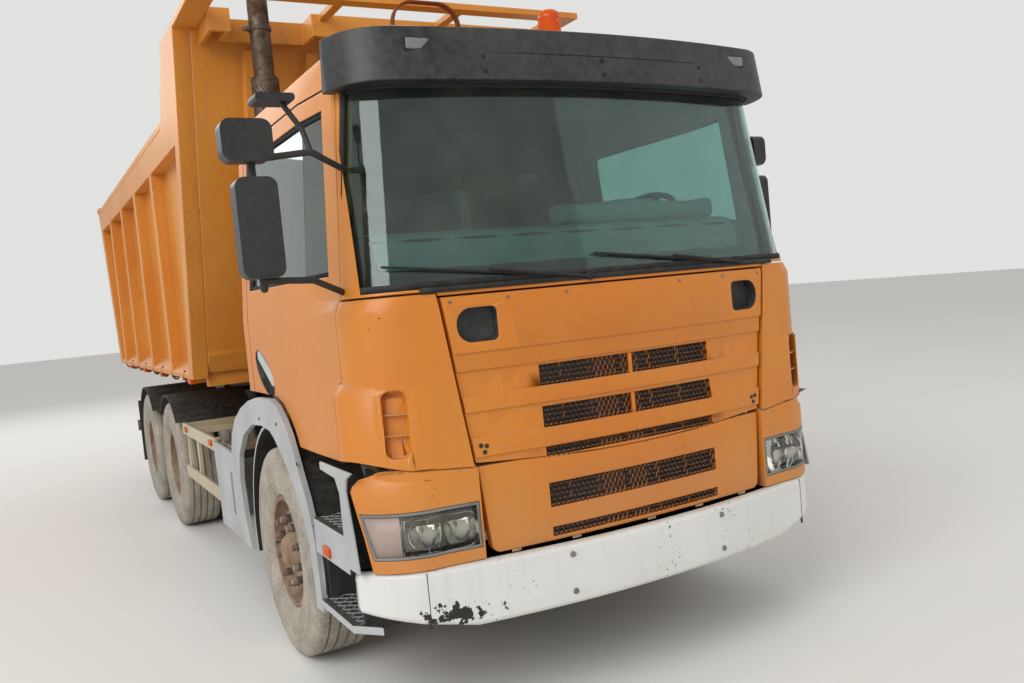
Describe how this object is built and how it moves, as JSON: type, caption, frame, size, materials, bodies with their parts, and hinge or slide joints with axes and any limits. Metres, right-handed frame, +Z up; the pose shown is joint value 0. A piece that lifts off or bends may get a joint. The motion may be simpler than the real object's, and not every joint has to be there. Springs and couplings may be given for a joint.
{
  "type": "dump truck",
  "caption": "Three-axle dump truck: tilting day cab, ribbed tipping body with a canopy and sloping ends, telescopic hoist, twin rear wheels.",
  "frame": {"origin": "on the ground, in the truck's middle plane, halfway between the bumper's front and the tailgate's rear", "axes": "+X towards the driver's side, -Y the way the truck drives, +Z up"},
  "size_m": [2.918, 8.835, 3.68],
  "materials": {
    "amber_paint": "satin, sun-faded",
    "body_paint": "satin, scuffed and dusty",
    "white_paint": "satin, chipped",
    "chassis_paint": "matt, dusty",
    "engine_iron": "rough",
    "lamp_lens": "clear moulded",
    "grey_plastic": "grained",
    "black_plastic": "weathered",
    "tank_metal": "dusty",
    "pale_paint": "dusty",
    "exhaust_metal": "heat-stained",
    "glass": "tinted green",
    "beacon_amber": "translucent",
    "cabin_trim": "grained",
    "seat_cloth": "woven",
    "hoist_paint": "satin",
    "hoist_chrome": "polished",
    "tyre": "dusty",
    "rim_paint": "dusty"
  },
  "bodies": {
    "chassis": {"frame": "chassis_paint", "front_axle": "chassis_paint", "rear_axles": "chassis_paint", "engine": "engine_iron", "driveline": "engine_iron", "bumper": "white_paint", "lower_front_panel": "amber_paint", "lamp_units": "amber_paint", "headlamps": "lamp_lens", "entry_steps": "grey_plastic", "front_mudguards": "grey_plastic", "side_tanks": "tank_metal", "side_guards": "pale_paint", "exhaust_stack": "exhaust_metal", "rear_mudguards": "black_plastic", "rear_lamp_bar": "chassis_paint"},
    "cab": {"cab_shell": "amber_paint", "windscreen": "glass", "corner_panels": "amber_paint", "sun_visor": "black_plastic", "roof_fittings": "beacon_amber", "dashboard": "cabin_trim", "steering_wheel": "cabin_trim", "seats": "seat_cloth", "mirror_passenger": "black_plastic"},
    "front_flap": {"front_flap": "amber_paint"},
    "tipping_body": {"body_floor": "body_paint", "body_sides": "body_paint", "headboard": "body_paint"},
    "tailgate": {"tailgate": "body_paint"},
    "hoist_barrel": {"hoist_barrel": "hoist_paint"},
    "hoist_stage_1": {"hoist_stage_1": "hoist_chrome"},
    "hoist_stage_2": {"hoist_stage_2": "hoist_chrome"},
    "hoist_stage_3": {"hoist_stage_3": "hoist_chrome"},
    "door_driver": {"door_driver": "amber_paint", "door_glass_driver": "glass", "door_handle_driver": "grey_plastic", "mirror_driver": "black_plastic"},
    "door_passenger": {"door_passenger": "amber_paint", "door_glass_passenger": "glass", "door_handle_passenger": "grey_plastic"},
    "knuckle_driver": {"knuckle_driver": "chassis_paint"},
    "front_wheel_driver": {"front_tyre_driver": "tyre", "front_rim_driver": "rim_paint"},
    "rear_wheels_1_driver": {"rear_tyres_1_driver": "tyre", "rear_rims_1_driver": "rim_paint"},
    "rear_wheels_2_driver": {"rear_tyres_2_driver": "tyre", "rear_rims_2_driver": "rim_paint"},
    "knuckle_passenger": {"knuckle_passenger": "chassis_paint"},
    "front_wheel_passenger": {"front_tyre_passenger": "tyre", "front_rim_passenger": "rim_paint"},
    "rear_wheels_1_passenger": {"rear_tyres_1_passenger": "tyre", "rear_rims_1_passenger": "rim_paint"},
    "rear_wheels_2_passenger": {"rear_tyres_2_passenger": "tyre", "rear_rims_2_passenger": "rim_paint"}
  },
  "joints": [
    {"name": "cab_tilt", "type": "hinge", "parent": "chassis", "child": "cab", "pos_m": [0, -4.0975, 0.75], "axis": [1, 0, 0], "range_deg": [0, 55]},
    {"name": "front_flap_lift", "type": "hinge", "parent": "cab", "child": "front_flap", "pos_m": [0, -4.3725, 1.757], "axis": [-1, 0, 0], "range_deg": [0, 70]},
    {"name": "door_driver_open", "type": "hinge", "parent": "cab", "child": "door_driver", "pos_m": [1.222, -4.0295, 1.6], "axis": [0, 0, -1], "range_deg": [0, 70]},
    {"name": "door_passenger_open", "type": "hinge", "parent": "cab", "child": "door_passenger", "pos_m": [-1.222, -4.0295, 1.6], "axis": [0, 0, 1], "range_deg": [0, 70]},
    {"name": "body_tip", "type": "hinge", "parent": "chassis", "child": "tipping_body", "pos_m": [0, 3.4325, 1.09], "axis": [-1, 0, 0], "range_deg": [0, 45]},
    {"name": "tailgate_swing", "type": "hinge", "parent": "tipping_body", "child": "tailgate", "pos_m": [0, 4.3725, 3.16], "axis": [1, 0, 0], "range_deg": [0, 45]},
    {"name": "hoist_swing", "type": "hinge", "parent": "chassis", "child": "hoist_barrel", "pos_m": [0, -1.9675, 0.85], "axis": [-1, 0, 0], "range_deg": [0, 21.13]},
    {"name": "hoist_extend_1", "type": "slide", "parent": "hoist_barrel", "child": "hoist_stage_1", "axis": [0, 0.1812, 0.9835], "range_m": [0, 1.301]},
    {"name": "hoist_extend_2", "type": "slide", "parent": "hoist_stage_1", "child": "hoist_stage_2", "axis": [0, 0.1812, 0.9835], "range_m": [0, 1.301]},
    {"name": "hoist_extend_3", "type": "slide", "parent": "hoist_stage_2", "child": "hoist_stage_3", "axis": [0, 0.1812, 0.9835], "range_m": [0, 1.301]},
    {"name": "steer_driver", "type": "hinge", "parent": "chassis", "child": "knuckle_driver", "pos_m": [0.93, -2.9205, 0.534], "axis": [0, 0, 1], "range_deg": [-35, 35]},
    {"name": "front_wheel_driver_roll", "type": "hinge", "parent": "knuckle_driver", "child": "front_wheel_driver", "pos_m": [1.08, -2.9205, 0.534], "axis": [1, 0, 0], "continuous": true},
    {"name": "rear_wheels_1_driver_roll", "type": "hinge", "parent": "chassis", "child": "rear_wheels_1_driver", "pos_m": [0.9, 0.7165, 0.534], "axis": [1, 0, 0], "continuous": true},
    {"name": "rear_wheels_2_driver_roll", "type": "hinge", "parent": "chassis", "child": "rear_wheels_2_driver", "pos_m": [0.9, 2.1115, 0.534], "axis": [1, 0, 0], "continuous": true},
    {"name": "steer_passenger", "type": "hinge", "parent": "chassis", "child": "knuckle_passenger", "pos_m": [-0.93, -2.9205, 0.534], "axis": [0, 0, 1], "range_deg": [-35, 35]},
    {"name": "front_wheel_passenger_roll", "type": "hinge", "parent": "knuckle_passenger", "child": "front_wheel_passenger", "pos_m": [-1.08, -2.9205, 0.534], "axis": [1, 0, 0], "continuous": true},
    {"name": "rear_wheels_1_passenger_roll", "type": "hinge", "parent": "chassis", "child": "rear_wheels_1_passenger", "pos_m": [-0.9, 0.7165, 0.534], "axis": [1, 0, 0], "continuous": true},
    {"name": "rear_wheels_2_passenger_roll", "type": "hinge", "parent": "chassis", "child": "rear_wheels_2_passenger", "pos_m": [-0.9, 2.1115, 0.534], "axis": [1, 0, 0], "continuous": true}
  ],
  "couplings": [
    {"joint": "hoist_swing", "follows": "body_tip", "ratio": 0.45841},
    {"joint": "hoist_extend_1", "follows": "body_tip", "m_per_rad": 1.6499},
    {"joint": "hoist_extend_2", "follows": "body_tip", "m_per_rad": 1.6499},
    {"joint": "hoist_extend_3", "follows": "body_tip", "m_per_rad": 1.6499},
    {"joint": "steer_passenger", "follows": "steer_driver", "ratio": 1}
  ]
}
